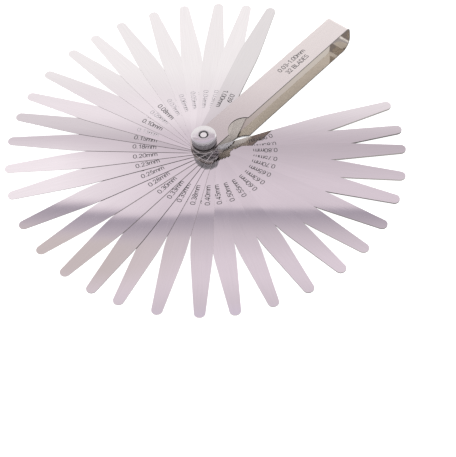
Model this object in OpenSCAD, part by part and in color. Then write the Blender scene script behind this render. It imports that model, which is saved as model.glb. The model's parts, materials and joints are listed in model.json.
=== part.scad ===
// Feeler gauge: 32 steel blades stacked on one pivot screw inside a folded
// strip holder, clamped by a knurled nut. The origin is on the pivot axis at
// the underside of the screw head, +X runs along the holder, +Z is up.

/* [Blades] */
// Distance from the pivot axis to a blade's tip
blade_reach = 96; // [85:1:97]
// Width of the parallel part of a blade
blade_w = 10.4; // [8:0.1:12]
// Radius of a blade's end round the pivot
blade_end_r = 6.3; // [6.1:0.1:6.7]
// Angle between a tapered edge and the blade's centre line
taper_angle = 4.7; // [3:0.1:5]
// Radius of a blade's tip
tip_r = 2.6; // [2:0.1:3]
// Radius of the soft shoulder where the taper starts
shoulder_r = 120; // [40:5:160]
// Clearance between neighbouring faces in the stack
face_gap = 0.01; // [0.01:0.01:0.05]
// How far the blades are fanned out, 0 is closed into the holder
fan = 1; // [0:0.05:1]

/* [Holder] */
// Thickness of the holder's strip
strip_t = 0.6; // [0.5:0.1:1]
// Width of the holder's strip
strip_w = 12.7; // [12.2:0.1:13.2]
// Radius of each arm's end round the pivot
arm_end_r = 6.8; // [6.6:0.1:7.5]
// Distance from the pivot axis to the outside of the bend
holder_reach = 103.4; // [103:0.2:110]
// Outer radius of the tight corner below the top arm
top_corner_r = 2.6; // [2:0.1:3.5]
// Angle that the tight corner turns through
top_corner_turn = 83; // [80:1:85]
// Outer radius of the round lower half of the bend
lower_bend_r = 6.2; // [5.8:0.1:6.6]
// Angle of the crease where the bend meets the lower arm
crease_turn = 12; // [8:1:16]
// Radius of the finger notch
notch_r = 8.1; // [7.5:0.1:10]
// Depth of the finger notch
notch_depth = 4.1; // [3:0.1:4.2]
// Distance from the pivot axis to the middle of the finger notch
notch_x = 17.5; // [15:0.5:30]

/* [Screw, washer and nut] */
// Diameter of the pivot screw's shank
screw_d = 4; // [3:0.5:4]
// Radial clearance round the screw
bore_gap = 0.05; // [0.03:0.01:0.1]
// Diameter of the screw's head
head_d = 9; // [8:0.5:11]
// Thickness of the screw's head
head_h = 1.2; // [0.8:0.1:1.6]
// Diameter of the washer
washer_d = 10.8; // [9:0.2:11.4]
// Thickness of the washer
washer_t = 0.4; // [0.3:0.1:0.8]
// Outer diameter of the knurled nut
nut_d = 12; // [11.6:0.2:13]
// Height of the nut
nut_h = 4.6; // [4:0.1:6]
// Number of ridges in the knurl
knurl_count = 60; // [40:4:72]
// Depth of the knurl's grooves
knurl_depth = 0.22; // [0.1:0.02:0.3]
// How far the screw's end lies below the top of the nut
end_recess = 0.25; // [0.1:0.05:0.5]

/* [Hidden] */
// Each blade's thickness in mm and its fanned angle in degrees, from the top
// of the stack down. Angles turn anticlockwise from the holder.
blade_set = [
    [1.00, 21], [0.03, 29], [0.04, 38], [0.05, 49],
    [0.06, 59], [0.07, 70], [0.08, 79.5], [0.09, 88.5],
    [0.10, 99.5], [0.13, 109.5], [0.15, 118], [0.18, 127.5],
    [0.20, 138], [0.23, 148], [0.25, 159.5], [0.28, 170],
    [0.30, 180.5], [0.33, 190], [0.35, 198.5], [0.38, 209.5],
    [0.40, 221], [0.45, 230.5], [0.50, 241], [0.55, 251.5],
    [0.60, 262.5], [0.63, 272], [0.65, 282], [0.70, 292],
    [0.75, 301], [0.80, 311.5], [0.85, 319.5], [0.90, 330],
];
blade_last = len(blade_set) - 1;

// Height of the stack from blade i down to the last one, with its gaps
function stack_below(i) =
    i > blade_last ? face_gap : blade_set[i][0] + face_gap + stack_below(i + 1);

// A name such as blade_0_20mm for a thickness of 0.20
function blade_name(i) =
    let (
        hundredths = round(blade_set[i][0] * 100),
        whole = floor(hundredths / 100),
        rest = hundredths - 100 * whole
    )
    str("blade_", whole, "_", rest < 10 ? "0" : "", rest, "mm");

// Heights
lower_arm_z = head_h;
stack_z = lower_arm_z + strip_t;
stack_h = stack_below(0);
top_arm_z = stack_z + stack_h;
holder_top = top_arm_z + strip_t;
washer_z = holder_top + face_gap;
nut_z = washer_z + washer_t + face_gap;
nut_top = nut_z + nut_h;

// Bores and small edges
bore_r = screw_d / 2 + bore_gap;
edge_chamfer = 0.3;
nut_chamfer = 0.6;
countersink = 0.4;
thread_chamfer = 0.45;
cut = 1;
$fn = 96;

// Points along an arc centred on [x, y]
function arc(x, y, r, from_angle, to_angle, steps) = [
    for (i = [0:steps])
        let (a = from_angle + (to_angle - from_angle) * i / steps)
        [x + r * cos(a), y + r * sin(a)]
];

function reversed(list) = [for (i = [len(list) - 1:-1:0]) list[i]];

function flipped(list) = [for (p = list) [p[0], -p[1]]];

// Blade outline
tip_x = blade_reach - tip_r;
shoulder_x = tip_x - (blade_w / 2 - tip_r / cos(taper_angle)) / tan(taper_angle);
taper_x = shoulder_x - shoulder_r * tan(taper_angle / 2);
shoulder_y = blade_w / 2 - shoulder_r;

// Half of a blade's outline, from behind the pivot to the tip
blade_half = concat(
    [[-blade_end_r - cut, blade_w / 2]],
    arc(taper_x, shoulder_y, shoulder_r, 90, 90 - taper_angle, 6),
    arc(tip_x, 0, tip_r, 90 - taper_angle, 0, 12)
);

// Everything that a strip keeps when its end is rounded about the pivot
module round_end(r, width, length) {
    circle(r = r);
    translate([0, -width]) square([length, 2 * width]);
}

module blade_outline() {
    difference() {
        intersection() {
            polygon(concat(blade_half, reversed(flipped(blade_half))));
            round_end(blade_end_r, blade_w, blade_reach + cut);
        }
        circle(r = bore_r);
    }
}

// Blade i at its own height in the stack and its own fanned angle
module blade(i) {
    thickness = blade_set[i][0];
    color("gainsboro")
        rotate([0, 0, fan * blade_set[i][1]])
            translate([0, 0, stack_z + stack_below(i + 1)])
                linear_extrude(thickness) blade_outline();
}

// Centres of the bend's arcs: the round lower half, the wall above it that
// bulges slightly, and the tight top corner, each tangent to the next. The
// lower half meets the lower arm in a crease.
lower_bend_x = holder_reach - lower_bend_r;
lower_bend_z = stack_z + (lower_bend_r - strip_t) * cos(crease_turn);
crease_x = lower_bend_x + (lower_bend_r - strip_t) * sin(crease_turn);
wall_turn = 90 - top_corner_turn;
top_corner_z = holder_top - top_corner_r;
wall_r = top_corner_r + (top_corner_z - lower_bend_z) / sin(wall_turn);
wall_x = holder_reach - wall_r;
top_corner_x = wall_x + (wall_r - top_corner_r) * cos(wall_turn);

// One face of the strip from the lower arm round to the top arm. The inset is
// zero for the outer face and the strip's thickness for the inner one.
function strip_face(inset) = concat(
    [[-arm_end_r - cut, lower_arm_z + inset]],
    arc(crease_x, stack_z, strip_t - inset, -90, crease_turn - 90, 2),
    arc(lower_bend_x, lower_bend_z, lower_bend_r - inset, crease_turn - 90, 0, 16),
    arc(wall_x, lower_bend_z, wall_r - inset, 1, wall_turn - 1, 3),
    arc(top_corner_x, top_corner_z, top_corner_r - inset, wall_turn, 90, 14),
    [[-arm_end_r - cut, holder_top - inset]]
);

// The strip seen from its edge, drawn with x across and z up
module holder_side() {
    inner = strip_face(strip_t);
    polygon(concat(strip_face(0), reversed(inner)));
}

// The strip seen from above, with its round end, finger notch and bore
module holder_plan() {
    difference() {
        intersection() {
            translate([-arm_end_r - cut, -strip_w / 2])
                square([arm_end_r + holder_reach + 2 * cut, strip_w]);
            round_end(arm_end_r, strip_w, holder_reach + 2 * cut);
        }
        translate([notch_x, notch_depth - strip_w / 2 - notch_r]) circle(r = notch_r);
        circle(r = bore_r);
    }
}

module holder() {
    color("silver")
        intersection() {
            translate([0, strip_w / 2 + cut, 0])
                rotate([90, 0, 0])
                    linear_extrude(strip_w + 2 * cut) holder_side();
            linear_extrude(holder_top + cut) holder_plan();
        }
}

module pivot_screw() {
    shank_r = screw_d / 2;
    end_z = nut_top - end_recess;
    color("lightgray")
        rotate_extrude()
            polygon([
                [0, 0],
                [head_d / 2 - edge_chamfer, 0],
                [head_d / 2, edge_chamfer],
                [head_d / 2, head_h],
                [shank_r, head_h],
                [shank_r, end_z - thread_chamfer],
                [shank_r - thread_chamfer, end_z],
                [0, end_z],
            ]);
}

module washer() {
    color("silver")
        translate([0, 0, washer_z])
            difference() {
                cylinder(h = washer_t, d = washer_d);
                translate([0, 0, -cut]) cylinder(h = washer_t + 2 * cut, r = bore_r);
            }
}

// Star of shallow ridges round the nut
module knurl_outline() {
    ridge_angle = 360 / knurl_count;
    polygon([for (i = [0:knurl_count - 1], groove = [0, 1])
        let (
            a = (i + groove / 2) * ridge_angle,
            r = nut_d / 2 - groove * knurl_depth
        )
        [r * cos(a), r * sin(a)]]);
}

module lock_nut() {
    color("whitesmoke")
        translate([0, 0, nut_z])
            intersection() {
                rotate_extrude()
                    polygon([
                        [bore_r, 0],
                        [nut_d / 2 - edge_chamfer, 0],
                        [nut_d / 2, edge_chamfer],
                        [nut_d / 2, nut_h - nut_chamfer],
                        [nut_d / 2 - nut_chamfer, nut_h],
                        [bore_r + countersink, nut_h],
                        [bore_r, nut_h - countersink],
                    ]);
                linear_extrude(nut_h) knurl_outline();
            }
}

holder();
pivot_screw();
washer();
lock_nut();
for (i = [0:blade_last])
    blade(i);
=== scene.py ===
"""Looks of the feeler gauge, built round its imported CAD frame.

The blades, screw and washer keep their CAD shapes. The holder and the knurled nut are replaced by
finer meshes, and every blade and the holder's top arm carry dark markings built from single strokes.
Lengths are in millimetres times MM, in the CAD frame: +X along the holder, +Z up the pivot.
"""

import json
import math

import bmesh
import bpy
from mathutils import Matrix, Vector


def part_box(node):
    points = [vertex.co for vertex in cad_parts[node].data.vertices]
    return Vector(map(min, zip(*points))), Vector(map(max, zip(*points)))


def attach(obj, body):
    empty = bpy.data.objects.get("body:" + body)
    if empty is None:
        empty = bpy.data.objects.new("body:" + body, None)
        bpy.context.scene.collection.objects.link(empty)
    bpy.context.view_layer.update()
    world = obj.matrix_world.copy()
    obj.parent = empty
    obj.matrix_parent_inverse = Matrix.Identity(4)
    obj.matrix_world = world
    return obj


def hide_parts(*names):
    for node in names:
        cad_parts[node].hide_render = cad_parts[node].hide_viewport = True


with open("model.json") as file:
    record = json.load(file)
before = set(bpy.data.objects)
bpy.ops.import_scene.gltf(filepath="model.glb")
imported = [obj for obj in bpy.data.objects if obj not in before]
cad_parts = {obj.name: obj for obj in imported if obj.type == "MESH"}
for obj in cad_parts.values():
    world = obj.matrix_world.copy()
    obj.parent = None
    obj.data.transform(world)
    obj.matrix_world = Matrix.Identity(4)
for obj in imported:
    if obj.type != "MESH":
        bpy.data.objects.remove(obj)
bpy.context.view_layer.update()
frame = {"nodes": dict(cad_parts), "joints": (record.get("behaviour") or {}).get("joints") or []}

MM = 0.001

# ---------------------------------------------------------------- what the frame says

BLADES = [node for node in frame["nodes"] if node.startswith("blade_")]
FAN_ANGLE = {joint["child"]: -joint["range_deg"][0] for joint in frame["joints"] if joint["child"] in BLADES}
HOLDER_LOW, HOLDER_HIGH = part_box("holder")
NUT_LOW, NUT_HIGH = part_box("lock_nut")
ARM_THICKNESS = 0.6 * MM
TOP_ARM_UNDERSIDE = HOLDER_HIGH.z - ARM_THICKNESS
BEND_START = HOLDER_HIGH.x - 6 * MM


def thickness_mm(node):
    """blade_0_20mm is 0.20 mm thick."""
    return float(node.removeprefix("blade_").removesuffix("mm").replace("_", "."))


# ---------------------------------------------------------------- materials

STEEL_LIGHT = Vector((0.90, 0.88, 0.90))
STEEL_DARK = Vector((0.80, 0.78, 0.80))
STEEL_CLOUD = Vector((0.74, 0.72, 0.74))
# painted shade: the sheared edges are dull steel, drawn darker still as the shade between the blades
DULL_EDGE_AND_SHADE = Vector((0.18, 0.17, 0.16))
# painted reflection: the round ends at the pivot are drawn lighter than the other edges
ROUND_END_REFLECTION = Vector((0.55, 0.53, 0.52))
GRIND_STRETCH = (60, 2600, 1)
CLOUD_STRETCH = (25, 90, 1)
SCRATCH_STRETCH = (30, 5200, 1)
SCRATCH_TURN = 12  # degrees between the scratches and the blade
SCRATCH_ABOVE = 0.72
WARP_STRETCH = (9, 16, 1)
ROUND_END_FROM = 11 * MM  # a blade's edge has its round end's painted reflection colour inside the second distance
ROUND_END_FULL = 8 * MM
GRIND_DEPTH = 0.0004 * MM
WARP_DEPTH = 0.04 * MM
HOLDER_TURN = 43.68  # degrees from the picture's x axis to the holder, anticlockwise from above
AWAY = Vector((math.sin(math.radians(HOLDER_TURN)), math.cos(math.radians(HOLDER_TURN)), 0))


def new_material(name):
    material = bpy.data.materials.new(name)
    material.use_nodes = True
    tree = material.node_tree
    return material, tree, tree.nodes["Principled BSDF"]


def add_node(tree, kind, inputs=None, **settings):
    """A node with its settings, and its inputs given by name or number: a value or another node's output."""
    node = tree.nodes.new(kind)
    for key, value in settings.items():
        setattr(node, key, value)
    for key, value in (inputs or {}).items():
        if isinstance(value, bpy.types.NodeSocket):
            tree.links.new(value, node.inputs[key])
        else:
            node.inputs[key].default_value = value
    return node


def math_node(tree, operation, a, b=0.0, c=0.0, clamp=False):
    node = add_node(tree, "ShaderNodeMath", {0: a, 1: b, 2: c}, operation=operation, use_clamp=clamp)
    return node.outputs[0]


def mix_colour(tree, factor, a, b, blend="MIX"):
    node = tree.nodes.new("ShaderNodeMix")
    node.data_type = "RGBA"
    node.blend_type = blend
    for socket, value in (("Factor_Float", factor), ("A_Color", a), ("B_Color", b)):
        target = next(s for s in node.inputs if s.identifier == socket)
        if isinstance(value, bpy.types.NodeSocket):
            tree.links.new(value, target)
        else:
            target.default_value = value
    return next(s for s in node.outputs if s.identifier == "Result_Color")


def spread(tree, value, low, high):
    """A 0 to 1 value as a number between low and high."""
    return add_node(
        tree, "ShaderNodeMapRange", {"Value": value, "To Min": low, "To Max": high}
    ).outputs["Result"]


def share(tree, value, start, full):
    """0 where a value is at the start, 1 where it is full, and between them in proportion."""
    return add_node(
        tree, "ShaderNodeMapRange", {"Value": value, "From Min": start, "From Max": full}
    ).outputs["Result"]


def part_coordinates(tree, angle=0.0, scale=(1.0, 1.0, 1.0), seed=0.0):
    """Coordinates fixed to the part, turned so that x runs along a blade at that angle, and stretched."""
    position = add_node(tree, "ShaderNodeTexCoord").outputs["Object"]
    turned = add_node(
        tree,
        "ShaderNodeVectorRotate",
        {"Vector": position, "Angle": -math.radians(angle)},
        rotation_type="Z_AXIS",
    ).outputs["Vector"]
    return add_node(
        tree, "ShaderNodeMapping", {"Vector": turned, "Location": (seed, seed * 0.7, 0), "Scale": scale}
    ).outputs["Vector"]


def noise(tree, vector, scale, detail=2.0, roughness=0.5):
    return add_node(
        tree,
        "ShaderNodeTexNoise",
        {"Vector": vector, "Scale": scale, "Detail": detail, "Roughness": roughness},
    ).outputs["Fac"]


def side_face_mask(tree):
    """1 on the sheared edges, which face sideways, and 0 on the flat faces."""
    coordinates = add_node(tree, "ShaderNodeTexCoord").outputs["Normal"]
    z = add_node(tree, "ShaderNodeSeparateXYZ", {"Vector": coordinates}).outputs["Z"]
    return math_node(tree, "LESS_THAN", math_node(tree, "ABSOLUTE", z), 0.5)


def axis_distance(tree):
    """Distance from the pivot's axis."""
    position = add_node(tree, "ShaderNodeTexCoord").outputs["Object"]
    flat = add_node(
        tree, "ShaderNodeVectorMath", {0: position, 1: (1, 1, 0)}, operation="MULTIPLY"
    ).outputs["Vector"]
    return add_node(tree, "ShaderNodeVectorMath", {0: flat}, operation="LENGTH").outputs["Value"]


def blade_material(node, angle, tone, lean, edge_shade_tone, end_reflection_tone):
    """Ground and polished spring steel: fine grinding lines along the blade, faint scratches, dull edges with
    painted shade.

    lean is how far the blade's face leans away from the camera, as a slope, so that it mirrors a higher
    part of the studio than its neighbours do. tone is for its faces, the edge tone for its sheared edges,
    which are dull and darkened further with painted shade, and the end tone for its round end's edge at the
    pivot, a painted reflection drawn lighter or darker.
    """
    material, tree, shader = new_material(node + "_steel")
    seed = angle / 7
    grind = noise(tree, part_coordinates(tree, angle, GRIND_STRETCH, seed), 1.0, 3.0)
    cloud = noise(tree, part_coordinates(tree, angle, CLOUD_STRETCH, seed), 1.0, 2.0)
    scratch = noise(tree, part_coordinates(tree, angle + SCRATCH_TURN, SCRATCH_STRETCH, seed), 1.0, 1.0)
    scratched = math_node(tree, "GREATER_THAN", scratch, SCRATCH_ABOVE)
    edge = side_face_mask(tree)
    light, dark = STEEL_LIGHT * tone, STEEL_DARK * tone
    base = mix_colour(tree, grind, (*dark, 1), (*light, 1))
    base = mix_colour(tree, math_node(tree, "MULTIPLY", cloud, 0.2), base, (*STEEL_CLOUD, 1))
    near_pivot = share(tree, axis_distance(tree), ROUND_END_FROM, ROUND_END_FULL)
    # the edges carry painted shade, and their round ends near the pivot a painted reflection
    edge_dullness_and_painted_light = mix_colour(tree, near_pivot, (*(DULL_EDGE_AND_SHADE * edge_shade_tone), 1), (*(ROUND_END_REFLECTION * end_reflection_tone), 1))
    base = mix_colour(tree, edge, base, edge_dullness_and_painted_light)
    tree.links.new(base, shader.inputs["Base Color"])
    rough = spread(tree, cloud, 0.015, 0.05)
    rough = math_node(tree, "ADD", rough, math_node(tree, "MULTIPLY", scratched, 0.04))
    rough = math_node(tree, "ADD", rough, math_node(tree, "MULTIPLY", edge, 0.35))
    tree.links.new(rough, shader.inputs["Roughness"])
    shader.inputs["Metallic"].default_value = 1.0
    position = add_node(tree, "ShaderNodeTexCoord").outputs["Object"]
    leaning = add_node(
        tree, "ShaderNodeVectorMath", {0: position, 1: tuple(AWAY * -lean)}, operation="DOT_PRODUCT"
    ).outputs["Value"]
    warp = noise(tree, part_coordinates(tree, angle, WARP_STRETCH, seed), 1.0, 0.0)
    height = math_node(tree, "MULTIPLY_ADD", grind, GRIND_DEPTH, leaning)
    height = math_node(tree, "MULTIPLY_ADD", warp, WARP_DEPTH, height)
    bump = add_node(
        tree, "ShaderNodeBump", {"Height": height, "Strength": 1.0, "Distance": 1.0}
    ).outputs["Normal"]
    tree.links.new(bump, shader.inputs["Normal"])
    return material


HOLDER_DULL = (0.77, 0.725, 0.72, 1)
HOLDER_BRIGHT = (0.82, 0.775, 0.775, 1)
HOLDER_CLOUD = (0.65, 0.60, 0.58, 1)
HOLDER_NEAR_PIVOT = (0.60, 0.555, 0.555, 1)
# painted shade inside the fold
HOLDER_FOLD_SHADE = (0.55, 0.51, 0.465, 1)
# the sheared edges: dull metal, drawn darker still as painted shade
HOLDER_DULL_EDGE_AND_SHADE = (0.07, 0.062, 0.055, 1)
PIVOT_DARKER_FROM = 45 * MM  # the holder is darker towards the pivot
PIVOT_DARKER_FULL = 10 * MM


def holder_material():
    """Satin nickel-plated strip, brushed along its length, with painted shade inside the fold and on its dull
    sheared edges.
    """
    material, tree, shader = new_material("holder_satin_nickel")
    brushed = noise(tree, part_coordinates(tree, 0, (40, 2200, 2200), 3.0), 1.0, 3.0)
    cloud = noise(tree, part_coordinates(tree, 0, (30, 60, 60), 5.0), 1.0, 2.0)
    coordinates = add_node(tree, "ShaderNodeTexCoord")
    normal = add_node(tree, "ShaderNodeSeparateXYZ", {"Vector": coordinates.outputs["Normal"]})
    place = add_node(tree, "ShaderNodeSeparateXYZ", {"Vector": coordinates.outputs["Object"]})
    edge = math_node(tree, "GREATER_THAN", math_node(tree, "ABSOLUTE", normal.outputs["Y"]), 0.35)
    # a face is inside the fold where its normal points back at the middle of the loop
    past_arms = math_node(tree, "MAXIMUM", math_node(tree, "SUBTRACT", place.outputs["X"], BEND_START), 0.0)
    above_middle = math_node(tree, "SUBTRACT", place.outputs["Z"], (HOLDER_LOW.z + HOLDER_HIGH.z) / 2)
    outward = math_node(tree, "MULTIPLY", past_arms, normal.outputs["X"])
    outward = math_node(tree, "MULTIPLY_ADD", above_middle, normal.outputs["Z"], outward)
    inside = math_node(tree, "LESS_THAN", outward, 0.0)
    base = mix_colour(tree, brushed, HOLDER_DULL, HOLDER_BRIGHT)
    base = mix_colour(tree, math_node(tree, "MULTIPLY", cloud, 0.1), base, HOLDER_CLOUD)
    toward_pivot = share(tree, place.outputs["X"], PIVOT_DARKER_FROM, PIVOT_DARKER_FULL)
    base = mix_colour(tree, math_node(tree, "MULTIPLY", toward_pivot, 0.7), base, HOLDER_NEAR_PIVOT)
    # painted shade inside the fold
    base = mix_colour(tree, inside, base, HOLDER_FOLD_SHADE)
    # painted shade on the dull sheared edges
    base = mix_colour(tree, edge, base, HOLDER_DULL_EDGE_AND_SHADE)
    tree.links.new(base, shader.inputs["Base Color"])
    rough = math_node(tree, "MULTIPLY_ADD", inside, -0.11, spread(tree, cloud, 0.15, 0.2))
    rough = math_node(tree, "MULTIPLY_ADD", edge, 0.25, rough)
    tree.links.new(rough, shader.inputs["Roughness"])
    shader.inputs["Metallic"].default_value = 1.0
    bump = add_node(
        tree, "ShaderNodeBump", {"Height": brushed, "Strength": 1.0, "Distance": 0.0006 * MM}
    ).outputs["Normal"]
    tree.links.new(bump, shader.inputs["Normal"])
    return material


# painted shade: the thread's mouth, the sides and undersides, and the knurl's grooves
THREAD_MOUTH_SHADE = (0.28, 0.28, 0.285, 1)
NUT_SIDE_SHADE = (0.52, 0.51, 0.52, 1)
KNURL_GROOVE_SHADE = (0.13, 0.13, 0.13, 1)
GROOVE_FROM = 0.04 * MM  # depth in the knurl where painted shade in its grooves begins, and where it is darkest
GROOVE_FULL = 0.18 * MM
LEVEL_ABOVE = 0.9  # a face is level or sideways by how far its normal points up
SIDEWAYS_BELOW = 0.2


def chrome_material(name, colour, low, high, recess_below=None):
    """Bright plating with faint turning marks and worn, duller patches. Its roughness is low to high.

    With recess_below, faces nearer the axis than that are painted dark as shade unless they are level, as in
    a thread's mouth. Farther out, sides and undersides are painted darker as shade, darkest in the knurl
    below the nut's collar.
    """
    material, tree, shader = new_material(name)
    wear = noise(tree, part_coordinates(tree, 0, (1, 1, 1), 2.0), 700.0, 4.0)
    turning = noise(tree, part_coordinates(tree, 0, (1, 1, 6), 7.0), 1500.0, 2.0)
    darker = tuple(0.85 * c for c in colour)
    base = mix_colour(tree, wear, (*colour, 1), (*darker, 1))
    if recess_below:
        coordinates = add_node(tree, "ShaderNodeTexCoord")
        normal = add_node(tree, "ShaderNodeSeparateXYZ", {"Vector": coordinates.outputs["Normal"]})
        place = add_node(tree, "ShaderNodeSeparateXYZ", {"Vector": coordinates.outputs["Object"]})
        radius = axis_distance(tree)
        near = math_node(tree, "LESS_THAN", radius, recess_below)
        sloping = math_node(tree, "LESS_THAN", normal.outputs["Z"], LEVEL_ABOVE)
        # painted shade in the thread's mouth
        base = mix_colour(tree, math_node(tree, "MULTIPLY", near, sloping), base, THREAD_MOUTH_SHADE)
        sideways = math_node(tree, "LESS_THAN", normal.outputs["Z"], SIDEWAYS_BELOW)
        sideways = math_node(tree, "MULTIPLY", sideways, math_node(tree, "SUBTRACT", 1.0, near))
        # painted shade on the sides and undersides
        base = mix_colour(tree, sideways, base, NUT_SIDE_SHADE)
        groove = share(tree, radius, NUT_RADIUS - GROOVE_FROM, NUT_RADIUS - GROOVE_FULL)
        low_down = math_node(tree, "LESS_THAN", place.outputs["Z"], NUT_HIGH.z - COLLAR_HEIGHT - 0.05 * MM)
        groove = math_node(tree, "MULTIPLY", math_node(tree, "MULTIPLY", groove, low_down), sideways)
        # painted shade, darkest in the knurl's grooves
        base = mix_colour(tree, groove, base, KNURL_GROOVE_SHADE)
    tree.links.new(base, shader.inputs["Base Color"])
    tree.links.new(spread(tree, wear, low, high), shader.inputs["Roughness"])
    shader.inputs["Metallic"].default_value = 1.0
    bump = add_node(
        tree, "ShaderNodeBump", {"Height": turning, "Strength": 1.0, "Distance": 0.0008 * MM}
    ).outputs["Normal"]
    tree.links.new(bump, shader.inputs["Normal"])
    return material


def marking_material(name, ink):
    """Dark laser marking, a little lighter where it is worn."""
    material, tree, shader = new_material(name)
    wear = noise(tree, part_coordinates(tree, 0, (1, 1, 1), 1.0), 1400.0, 3.0)
    worn = ink + 0.06
    base = mix_colour(tree, wear, (ink, 0.95 * ink, ink, 1), (worn, 0.95 * worn, worn, 1))
    tree.links.new(base, shader.inputs["Base Color"])
    tree.links.new(spread(tree, wear, 0.45, 0.7), shader.inputs["Roughness"])
    shader.inputs["Specular IOR Level"].default_value = 0.2
    return material


def give_material(piece, material):
    piece.data.materials.clear()
    piece.data.materials.append(material)


# ---------------------------------------------------------------- mesh helpers


def add_piece(name, mesh, body, material):
    """A new piece that rides on a CAD body."""
    piece = bpy.data.objects.new(name, mesh)
    bpy.context.scene.collection.objects.link(piece)
    give_material(piece, material)
    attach(piece, body)
    return piece


SAME_POINT_WITHIN = 1e-6
FLAT_WITHIN = 0.5  # angles between faces, in degrees
ROUNDED_ABOVE = 40
WEIGHED_WITHIN = 50
RING_SHARP_ABOVE = 28


def weigh_normals(mesh, limit):
    """Shade large flat faces flat: a corner's normal is the mean of the faces it joins, weighted by area."""
    around = [[] for _ in mesh.vertices]
    for polygon in mesh.polygons:
        for vertex in polygon.vertices:
            around[vertex].append(polygon)
    normals = []
    for polygon in mesh.polygons:
        for vertex in polygon.vertices:
            total = Vector((0, 0, 0))
            for other in around[vertex]:
                if other.normal.angle(polygon.normal, 0.0) < math.radians(limit):
                    total += other.normal * other.area
            normals.append(total.normalized())
    mesh.normals_split_custom_set(normals)


def softened_copy(node, name, width, segments):
    """A CAD node's mesh with its sharp edges rounded off."""
    mesh = frame["nodes"][node].data.copy()
    mesh.name = name
    work = bmesh.new()
    work.from_mesh(mesh)
    bmesh.ops.remove_doubles(work, verts=work.verts, dist=SAME_POINT_WITHIN)
    flat = math.radians(FLAT_WITHIN)
    bmesh.ops.dissolve_limit(work, angle_limit=flat, verts=work.verts, edges=work.edges)
    rounded = math.radians(ROUNDED_ABOVE)
    sharp = [edge for edge in work.edges if edge.is_manifold and edge.calc_face_angle() > rounded]
    bmesh.ops.bevel(work, geom=sharp, offset=width, segments=segments, profile=0.5, affect="EDGES")
    for face in work.faces:
        face.smooth = True
    work.to_mesh(mesh)
    work.free()
    weigh_normals(mesh, WEIGHED_WITHIN)
    return mesh


def ring_mesh(name, rings):
    """A closed solid from rings with the same count of points: each joins the next, the last the first."""
    mesh = bpy.data.meshes.new(name)
    count = len(rings[0])
    points = [p for ring in rings for p in ring]
    faces = []
    for a in range(len(rings)):
        b = (a + 1) % len(rings)
        for i in range(count):
            j = (i + 1) % count
            faces.append((a * count + i, a * count + j, b * count + j, b * count + i))
    mesh.from_pydata(points, [], faces)
    mesh.update()
    for polygon in mesh.polygons:
        polygon.use_smooth = True
    mesh.set_sharp_from_angle(angle=math.radians(RING_SHARP_ABOVE))
    return mesh


# ---------------------------------------------------------------- knurled nut

NUT_RADIUS = (NUT_HIGH.x - NUT_LOW.x) / 2
NUT_BORE = 2.05 * MM
NUT_COUNTERSINK = 0.4 * MM
NUT_CHAMFER = 0.5 * MM
COLLAR_HEIGHT = 1.1 * MM
COLLAR_INSET = 0.12 * MM
RIDGES = 60
RIDGE_DEPTH = 0.22 * MM
POINTS_PER_RIDGE = 8


def knurl_radius(i):
    """Radius of point i round the nut: rounded ridges with narrower grooves between them."""
    phase = (i % POINTS_PER_RIDGE) / POINTS_PER_RIDGE
    groove = (0.5 - 0.5 * math.cos(2 * math.pi * phase)) ** 1.6
    return NUT_RADIUS - RIDGE_DEPTH * groove


def nut_mesh():
    """Rings from the bore's foot, out and up over the knurl and collar, then back into the countersink."""
    foot, top = NUT_LOW.z, NUT_HIGH.z
    collar = NUT_RADIUS - COLLAR_INSET
    # each row is a largest radius and a height; the knurl cuts into it only where it is marked
    rows = [
        (NUT_BORE, foot, False),
        (NUT_RADIUS - NUT_CHAMFER, foot, False),
        (NUT_RADIUS - 0.6 * NUT_CHAMFER, foot + 0.1 * NUT_CHAMFER, True),
        (NUT_RADIUS - 0.3 * NUT_CHAMFER, foot + 0.35 * NUT_CHAMFER, True),
        (NUT_RADIUS, foot + 0.8 * NUT_CHAMFER, True),
        (NUT_RADIUS, top - COLLAR_HEIGHT - 0.25 * MM, True),
        (NUT_RADIUS - 0.15 * MM, top - COLLAR_HEIGHT - 0.06 * MM, True),
        (collar - 0.1 * MM, top - COLLAR_HEIGHT, False),
        (collar, top - COLLAR_HEIGHT + 0.08 * MM, False),
        (collar, top - NUT_CHAMFER, False),
        (collar - 0.12 * NUT_CHAMFER, top - 0.7 * NUT_CHAMFER, False),
        (collar - 0.85 * NUT_CHAMFER, top - 0.06 * NUT_CHAMFER, False),
        (collar - 1.1 * NUT_CHAMFER, top, False),
        (NUT_BORE + NUT_COUNTERSINK, top, False),
        (NUT_BORE, top - NUT_COUNTERSINK, False),
    ]
    count = RIDGES * POINTS_PER_RIDGE
    rings = []
    for largest, z, knurled in rows:
        ring = []
        for i in range(count):
            angle = 2 * math.pi * i / count
            r = min(largest, knurl_radius(i)) if knurled else largest
            ring.append((r * math.cos(angle), r * math.sin(angle), z))
        rings.append(ring)
    return ring_mesh("knurled_nut", rings)


# ---------------------------------------------------------------- marking strokes

STROKE = 0.15  # width of a stroke, in capital heights
SMOOTH_STEP = 15  # degrees between points on an arc


def arc(cx, cy, rx, ry, start, end):
    """Points of an elliptical arc from one angle to another, in degrees."""
    steps = max(2, round(abs(end - start) / SMOOTH_STEP))
    angles = [math.radians(start + (end - start) * i / steps) for i in range(steps + 1)]
    return [(cx + rx * math.cos(a), cy + ry * math.sin(a)) for a in angles]


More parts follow.
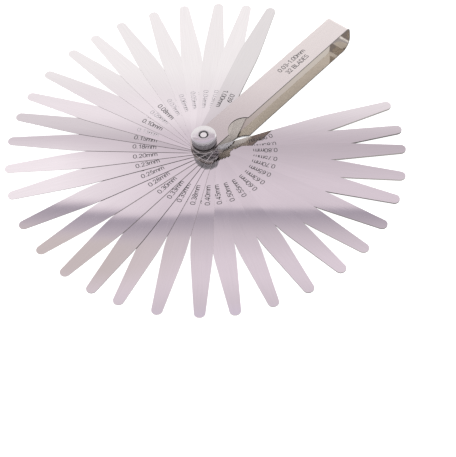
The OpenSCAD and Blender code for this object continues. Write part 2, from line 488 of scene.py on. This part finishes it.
# Each character is its strokes and its width, for a capital height of 1
GLYPHS = {
    "0": (
        [arc(0.29, 0.68, 0.29, 0.32, 0, 180) + arc(0.29, 0.32, 0.29, 0.32, 180, 360) + [(0.58, 0.68)]],
        0.58,
    ),
    "1": ([[(0.10, 0.78), (0.36, 1.0), (0.36, 0.0)]], 0.50),
    "2": ([arc(0.29, 0.71, 0.27, 0.29, 165, -35) + [(0.02, 0.0), (0.58, 0.0)]], 0.58),
    "3": ([arc(0.27, 0.755, 0.25, 0.245, 145, -90) + arc(0.28, 0.255, 0.29, 0.255, 90, -145)], 0.57),
    "4": ([[(0.45, 0.0), (0.45, 1.0), (0.0, 0.27), (0.60, 0.27)]], 0.60),
    "5": ([[(0.53, 1.0), (0.12, 1.0), (0.07, 0.52)] + arc(0.28, 0.32, 0.29, 0.32, 125, -145)], 0.57),
    "6": ([arc(0.29, 0.31, 0.28, 0.31, 150, -210), arc(0.62, 0.31, 0.61, 0.69, 180, 100)], 0.58),
    "7": ([[(0.0, 1.0), (0.56, 1.0), (0.18, 0.0)]], 0.56),
    "8": ([arc(0.29, 0.76, 0.23, 0.24, -90, 270), arc(0.29, 0.26, 0.28, 0.26, 90, 450)], 0.58),
    "9": ([arc(0.29, 0.69, 0.28, 0.31, -30, 330), arc(-0.04, 0.69, 0.61, 0.69, 0, -80)], 0.58),
    ".": ([[(0.07, 0.0), (0.07, 0.03)]], 0.14),
    "-": ([[(0.0, 0.40), (0.34, 0.40)]], 0.34),
    "m": (
        [
            [(0.0, 0.0), (0.0, 0.70)],
            [(0.0, 0.45)] + arc(0.225, 0.45, 0.225, 0.25, 180, 0) + [(0.45, 0.0)],
            [(0.45, 0.45)] + arc(0.675, 0.45, 0.225, 0.25, 180, 0) + [(0.90, 0.0)],
        ],
        0.90,
    ),
    "A": ([[(0.0, 0.0), (0.34, 1.0), (0.68, 0.0)], [(0.11, 0.32), (0.57, 0.32)]], 0.68),
    "B": (
        [
            [(0.0, 0.0), (0.0, 1.0), (0.30, 1.0)] + arc(0.30, 0.77, 0.22, 0.23, 90, -90) + [(0.0, 0.54)],
            [(0.30, 0.54)] + arc(0.32, 0.27, 0.26, 0.27, 90, -90) + [(0.0, 0.0)],
        ],
        0.58,
    ),
    "D": ([[(0.0, 0.0), (0.0, 1.0), (0.25, 1.0)] + arc(0.25, 0.5, 0.38, 0.5, 90, -90) + [(0.0, 0.0)]], 0.63),
    "E": ([[(0.52, 1.0), (0.0, 1.0), (0.0, 0.0), (0.52, 0.0)], [(0.0, 0.52), (0.46, 0.52)]], 0.52),
    "L": ([[(0.0, 1.0), (0.0, 0.0), (0.48, 0.0)]], 0.48),
    "S": (
        [arc(0.28, 0.755, 0.26, 0.245, 35, 270) + arc(0.28, 0.255, 0.28, 0.255, 90, -145)],
        0.56,
    ),
    " ": ([], 0.24),
}
LETTER_GAP = 0.20
LETTER_WIDTH = 1.1  # how much wider the characters are cut than they are drawn here


def stroke_outline(points, width):
    """Left and right edges of a ribbon along the points, with mitred bends and blunt round ends."""
    clean = [points[0]]
    for p in points[1:]:
        if math.dist(p, clean[-1]) > 1e-6:
            clean.append(p)
    bends = [Vector(p) for p in clean]
    directions = [(b - a).normalized() for a, b in zip(bends, bends[1:])]
    rows = []
    for i, p in enumerate(bends):
        before = directions[max(i - 1, 0)]
        after = directions[min(i, len(directions) - 1)]
        along = (before + after).normalized()
        across = Vector((-along.y, along.x))
        stretch = 1 / max(across.dot(Vector((-after.y, after.x))), 0.45)
        rows.append((p, across * (width / 2 * stretch)))
    first, last = directions[0] * width / 2, directions[-1] * width / 2
    start = [(bends[0] - first, rows[0][1] * 0.35), (bends[0] - first * 0.6, rows[0][1] * 0.8)]
    end = [(bends[-1] + last * 0.6, rows[-1][1] * 0.8), (bends[-1] + last, rows[-1][1] * 0.35)]
    ribbon = start + rows + end
    return [p + a for p, a in ribbon], [p - a for p, a in ribbon]


def marking_mesh(name, text, height, place, top, depth):
    """A line of text as thin closed ribbons. place turns a text point into the row frame's x and y."""
    work = bmesh.new()
    width = height * LETTER_WIDTH
    pen = 0.0
    for character in text:
        strokes, advance = GLYPHS[character]
        for stroke in strokes:
            left, right = stroke_outline([(pen + x, y) for x, y in stroke], STROKE)
            layers = []
            for z in (top, top - depth):
                corners = [[place(p.x * width, p.y * height) for p in side] for side in (left, right)]
                layers.append([[work.verts.new((x, y, z)) for x, y in side] for side in corners])
            (upper_left, upper_right), (lower_left, lower_right) = layers
            for i in range(len(left) - 1):
                j = i + 1
                work.faces.new((upper_left[i], upper_right[i], upper_right[j], upper_left[j]))
                work.faces.new((lower_left[j], lower_right[j], lower_right[i], lower_left[i]))
                work.faces.new((upper_left[j], lower_left[j], lower_left[i], upper_left[i]))
                work.faces.new((upper_right[i], lower_right[i], lower_right[j], upper_right[j]))
            for i, turn in ((0, 1), (len(left) - 1, -1)):
                cap = (upper_left[i], lower_left[i], lower_right[i], upper_right[i])
                work.faces.new(cap[::turn])
        pen += advance + LETTER_GAP
    bmesh.ops.recalc_face_normals(work, faces=work.faces)
    mesh = bpy.data.meshes.new(name)
    work.to_mesh(mesh)
    work.free()
    return mesh


MARK_RISE = 0.004 * MM  # a mark stands this far out of the face, and reaches as far into it
CAPITALS = 2.2 * MM
BLADE_TEXT_START = 34.4 * MM  # from the pivot to where the line starts, nearest the tip
BLADE_BASELINE = 3.0 * MM  # from the blade's centre line, towards its anticlockwise edge
INCH_TEXT_START = 33.6 * MM
INCH_BASELINE = -0.9 * MM
HOLDER_LINES = (  # name, text, distance from the pivot to its start, baseline from the centre line
    ("range_mark", "0.03-1.00mm", 57.0 * MM, 0.75 * MM),
    ("count_mark", "32 BLADES", 58.6 * MM, -3.1 * MM),
)


def blade_place(angle, start, baseline):
    """Text on a blade reads from its tip towards the pivot, with its head to the clockwise edge."""
    cosine, sine = math.cos(math.radians(angle)), math.sin(math.radians(angle))

    def place(x, y):
        along, across = start - x, baseline - y
        return along * cosine - across * sine, along * sine + across * cosine

    return place


def holder_place(start, baseline):
    return lambda x, y: (start + x, baseline + y)


def inch_label(node):
    """The blade's thickness in inches, without the leading zero."""
    return f"{thickness_mm(node) / 25.4:.3f}"[1:]


# ---------------------------------------------------------------- make the pieces

HOLDER_ROUNDING = 0.06 * MM

# Slopes of the thin blades that don't lie quite flat
LEAN = {
    "blade_0_15mm": 0.003,
    "blade_0_18mm": 0.002,
    "blade_0_20mm": 0.004,
    "blade_0_23mm": 0.006,
    "blade_0_25mm": -0.0015,
    "blade_0_28mm": 0.001,
    "blade_0_30mm": 0.0032,
    "blade_0_33mm": 0.004,
    "blade_0_35mm": 0.0032,
    "blade_0_38mm": 0.002,
    "blade_0_40mm": 0.0014,
}
EDGE_SHADE_TONE = {  # most edges carry dark painted shade, a few are painted lighter
    "blade_0_09mm": 2.0,
    "blade_0_13mm": 2.0,
    "blade_0_28mm": 2.4,
    "blade_0_30mm": 1.8,
    "blade_0_38mm": 2.6,
    "blade_0_40mm": 4.5,
    "blade_0_45mm": 2.0,
}
TONE = {"blade_1_00mm": 0.85, "blade_0_15mm": 0.82, "blade_0_18mm": 0.93}

marking = marking_material("laser_marking", 0.01)
faint_marking = marking_material("faint_laser_marking", 0.2)
FAINT_MARKS = {f"blade_0_{size}mm" for size in ("03", "04", "05", "06", "07", "09", "13")}

for index, node in enumerate(BLADES):
    angle = FAN_ANGLE[node]
    tone = TONE.get(node, 1.0 - 0.02 * math.sin(2.1 * index))
    # painted reflection: the round ends alternate light and dark from blade to blade
    end_reflection_tone = (0.45, 1.5, 0.25)[index % 3]
    edge_shade_tone = EDGE_SHADE_TONE.get(node, 1.0 + 0.5 * math.sin(1.9 * index))
    steel = blade_material(node, angle, tone, LEAN.get(node, 0.0), edge_shade_tone, end_reflection_tone)
    give_material(frame["nodes"][node], steel)
    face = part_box(node)[1].z + MARK_RISE
    lines = (
        ("size", f"{thickness_mm(node):.2f}mm", BLADE_TEXT_START, BLADE_BASELINE),
        ("inch", inch_label(node), INCH_TEXT_START, INCH_BASELINE),
    )
    for kind, text, start, baseline in lines:
        place = blade_place(angle, start, baseline)
        mesh = marking_mesh(f"{kind}_{node}", text, CAPITALS, place, face, 2 * MARK_RISE)
        ink = faint_marking if node in FAINT_MARKS else marking
        add_piece(f"{kind}_mark_{node}", mesh, node, ink)

holder_mesh = softened_copy("holder", "holder_strip", HOLDER_ROUNDING, 2)
holder = add_piece("holder_strip", holder_mesh, "holder", holder_material())
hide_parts("holder")
thread_mouth = NUT_BORE + NUT_COUNTERSINK + 0.02 * MM
nut_plating = chrome_material("nut_chrome", (0.80, 0.785, 0.81), 0.05, 0.14, thread_mouth)
nut = add_piece("knurled_nut", nut_mesh(), "lock_nut", nut_plating)
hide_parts("lock_nut")
screw_plating = chrome_material("screw_steel", (0.97, 0.96, 0.97), 0.2, 0.35, thread_mouth)
give_material(frame["nodes"]["pivot_screw"], screw_plating)
give_material(frame["nodes"]["washer"], chrome_material("washer_steel", (0.55, 0.54, 0.55), 0.15, 0.35))

for name, text, start, baseline in HOLDER_LINES:
    mesh = marking_mesh(
        name, text, CAPITALS, holder_place(start, baseline), HOLDER_HIGH.z + MARK_RISE, 2 * MARK_RISE
    )
    add_piece(name, mesh, "holder", marking)

# ---------------------------------------------------------------- camera

# The camera's own frame has its x axis across the picture and y away from it, level with the table.
CAMERA_ELEVATION = 53.3
CAMERA_DISTANCE = 549.6 * MM
CAMERA_ROLL = -5.64
AIM_ACROSS = 7.15 * MM
AIM_AWAY = -52.42 * MM
LENS = 96.1
SENSOR = 36.0

elevation = math.radians(CAMERA_ELEVATION)
roll = math.radians(CAMERA_ROLL)
to_row = Matrix.Rotation(-math.radians(HOLDER_TURN), 3, "Z")
aim = Vector((AIM_ACROSS, AIM_AWAY, 0))
back = Vector((0, -math.cos(elevation), math.sin(elevation)))
level_right = Vector((1, 0, 0))
level_up = Vector((0, math.sin(elevation), math.cos(elevation)))
right = math.cos(roll) * level_right + math.sin(roll) * level_up
up = -math.sin(roll) * level_right + math.cos(roll) * level_up
centre = to_row @ (aim + CAMERA_DISTANCE * back) + Vector((0, 0, TOP_ARM_UNDERSIDE))
axes = Matrix([to_row @ right, to_row @ up, to_row @ back]).transposed()

lens = bpy.data.cameras.new("camera")
lens.lens = LENS
lens.sensor_width = SENSOR
lens.clip_start = 10 * MM
camera = bpy.data.objects.new("camera", lens)
camera.matrix_world = Matrix.Translation(centre) @ axes.to_4x4()
bpy.context.scene.collection.objects.link(camera)
bpy.context.scene.camera = camera

# ---------------------------------------------------------------- floor, light and surroundings

FLOOR_GLOW = 0.9
SHADED_GLOW = 0.1
SHADE_REACH = 60 * MM  # beside the pivot, the table only glows where it isn't covered this close above
SHADE_FULL_TO = 28 * MM  # distances from the pivot
SHADE_ENDS = 40 * MM
COVERED = 0.07  # shares of the view upwards that are open
OPEN = 0.26


def floor_material():
    """A lit table that glows, so that shadows on it stay faint, except where it is closed in by the pivot,
    where its glow is dimmed into painted shade.
    """
    material, tree, shader = new_material("pale_floor")
    grain = noise(tree, part_coordinates(tree, 0, (1, 1, 1), 0.0), 60.0, 2.0)
    base = mix_colour(tree, grain, (0.29, 0.29, 0.29, 1), (0.31, 0.31, 0.31, 1))
    tree.links.new(base, shader.inputs["Base Color"])
    openness = add_node(
        tree, "ShaderNodeAmbientOcclusion", {"Distance": SHADE_REACH}, samples=12
    ).outputs["AO"]
    openness = share(tree, openness, COVERED, OPEN)
    clear = share(tree, axis_distance(tree), SHADE_FULL_TO, SHADE_ENDS)
    glow = spread(tree, math_node(tree, "MAXIMUM", openness, clear), SHADED_GLOW, FLOOR_GLOW)
    shader.inputs["Emission Color"].default_value = (1, 1, 1, 1)
    tree.links.new(glow, shader.inputs["Emission Strength"])
    shader.inputs["Roughness"].default_value = 0.9
    shader.inputs["Specular IOR Level"].default_value = 0.1
    return material


FLOOR_SIZE = 6.0
floor_mesh = bpy.data.meshes.new("floor")
half = FLOOR_SIZE / 2
floor_corners = [(-half, -half, 0), (half, -half, 0), (half, half, 0), (-half, half, 0)]
floor_mesh.from_pydata(floor_corners, [], [(0, 1, 2, 3)])
floor = bpy.data.objects.new("floor", floor_mesh)
bpy.context.scene.collection.objects.link(floor)
give_material(floor, floor_material())


GREY = Vector((1.0, 0.95, 0.99))
VIOLET = Vector((1.0, 0.88, 1.02))
LILAC = Vector((1.0, 0.88, 0.95))
PALE = Vector((1.0, 0.925, 0.95))
WHITE = Vector((1.0, 0.97, 0.955))
WARM = Vector((1.0, 0.88, 0.86))

# The far wall of the studio, as the level blades mirror it. Each row is a slope above the camera's aim,
# the brightness that steel shows there, where 1 is white, and its tint.
STUDIO_WALL = [
    (-1.000, 0.48, GREY),  # the foot of the wall
    (-0.300, 0.54, GREY),
    (-0.070, 0.60, VIOLET),
    (-0.060, 0.61, LILAC),
    (-0.040, 0.69, LILAC),  # a soft glow low down
    (-0.025, 0.68, LILAC),
    (-0.004, 0.56, LILAC),
    (0.012, 0.35, VIOLET),  # a thin dark line with a sharp upper edge
    (0.0145, 0.36, VIOLET),
    (0.0175, 0.66, LILAC),
    (0.035, 0.66, LILAC),
    (0.066, 0.51, LILAC),  # a dull band
    (0.073, 0.52, LILAC),
    (0.095, 0.76, PALE),
    (0.130, 0.87, WHITE),  # the bright wall above it
    (0.200, 0.90, WHITE),
    (1.000, 0.83, WHITE),
]
# Panels on the left of the wall: where each begins and is full to the left, where it begins, is full,
# still is full and ends in height, its brightness, its tint and its strength.
STUDIO_PANELS = [
    (-0.005, -0.025, (0.022, 0.040, 0.075, 0.090), 0.73, LILAC, 0.5),
    (-0.005, -0.025, (0.078, 0.091, 0.100, 0.115), 0.84, PALE, 0.8),
    (-0.050, -0.140, (0.018, 0.021, 0.064, 0.080), 0.87, PALE, 1.0),
    (-0.020, -0.100, (-0.050, -0.025, -0.006, 0.002), 0.56, WARM, 1.0),
]
STEEL_REFLECTANCE = 0.84


def studio_colour(brightness, tint):
    """What the studio has to show for level steel to look that bright."""
    return (*(tint * (brightness / STEEL_REFLECTANCE)), 1)


def studio_world():
    """The studio's wall and panels, by how high each direction is along the camera's mirrored up axis."""
    world = bpy.data.worlds.new("studio")
    world.use_nodes = True
    tree = world.node_tree
    background = tree.nodes["Background"]
    direction = add_node(tree, "ShaderNodeTexCoord").outputs["Generated"]

    def along(axis):
        mirrored = to_row @ axis
        mirrored.z = -mirrored.z
        return add_node(
            tree, "ShaderNodeVectorMath", {0: direction, 1: tuple(mirrored)}, operation="DOT_PRODUCT"
        ).outputs["Value"]

    height = along(up)
    across = along(right)
    colour = studio_colour(*STUDIO_WALL[0][1:])
    for (low, _, _), (high, brightness, tint) in zip(STUDIO_WALL, STUDIO_WALL[1:]):
        colour = mix_colour(tree, share(tree, height, low, high), colour, studio_colour(brightness, tint))
    for begins, full, (lowest, low, high, highest), brightness, tint, strength in STUDIO_PANELS:
        panel = math_node(tree, "MULTIPLY", share(tree, across, begins, full), strength)
        panel = math_node(tree, "MULTIPLY", panel, share(tree, height, lowest, low))
        panel = math_node(tree, "MULTIPLY", panel, share(tree, height, highest, high))
        colour = mix_colour(tree, panel, colour, studio_colour(brightness, tint))
    tree.links.new(colour, background.inputs["Color"])
    background.inputs["Strength"].default_value = 1.0
    return world


bpy.context.scene.world = studio_world()


def soft_light(name, position, size, power):
    """A large square light that faces the pivot. The polished blades don't mirror it."""
    data = bpy.data.lights.new(name, "AREA")
    data.shape = "SQUARE"
    data.size = size
    data.energy = power
    light = bpy.data.objects.new(name, data)
    light.location = position
    light.rotation_euler = (-Vector(position)).to_track_quat("-Z", "Y").to_euler()
    light.visible_glossy = False
    bpy.context.scene.collection.objects.link(light)
    return light


soft_light("key_light", position=(0.3, -0.5, 1.4), size=1.0, power=30.0)
soft_light("fill_light", position=(-0.9, 0.7, 1.1), size=1.2, power=22.0)

view = bpy.context.scene.view_settings
view.view_transform = "Standard"
view.look = "None"
